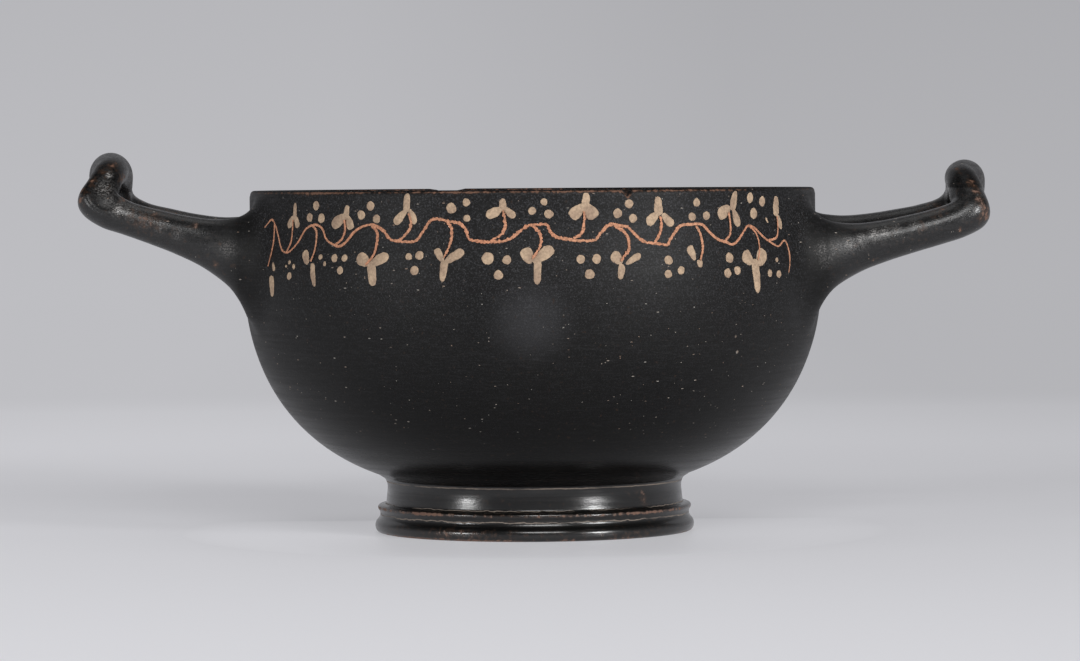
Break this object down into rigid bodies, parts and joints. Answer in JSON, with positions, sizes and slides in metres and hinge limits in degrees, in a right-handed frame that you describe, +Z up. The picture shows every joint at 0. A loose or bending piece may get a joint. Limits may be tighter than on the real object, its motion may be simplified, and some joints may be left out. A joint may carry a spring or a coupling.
{
  "type": "cup-skyphos",
  "caption": "Deep wheel-thrown drinking cup on a moulded ring foot, with looped horizontal handles that turn up at the tips and an ivy garland under the lip; black-gloss pottery.",
  "frame": {"origin": "centre of the ring that the cup stands on, under the middle of the bowl", "axes": "+X through the handles, +Y across them, +Z up out of the mouth"},
  "size_m": [0.1922, 0.1222, 0.0809],
  "materials": {
    "black_gloss": "fired clay under a sintered black slip, satin, worn to brown at the edges",
    "added_clay": "the garland's leaves and berries, thin cream clay brushed on over the slip, matt",
    "bare_clay": "the garland's stem, orange fired clay bared where it was scratched through the slip, matt"
  },
  "bodies": {
    "root": {"cup_skyphos": "black_gloss"}
  },
  "joints": []
}
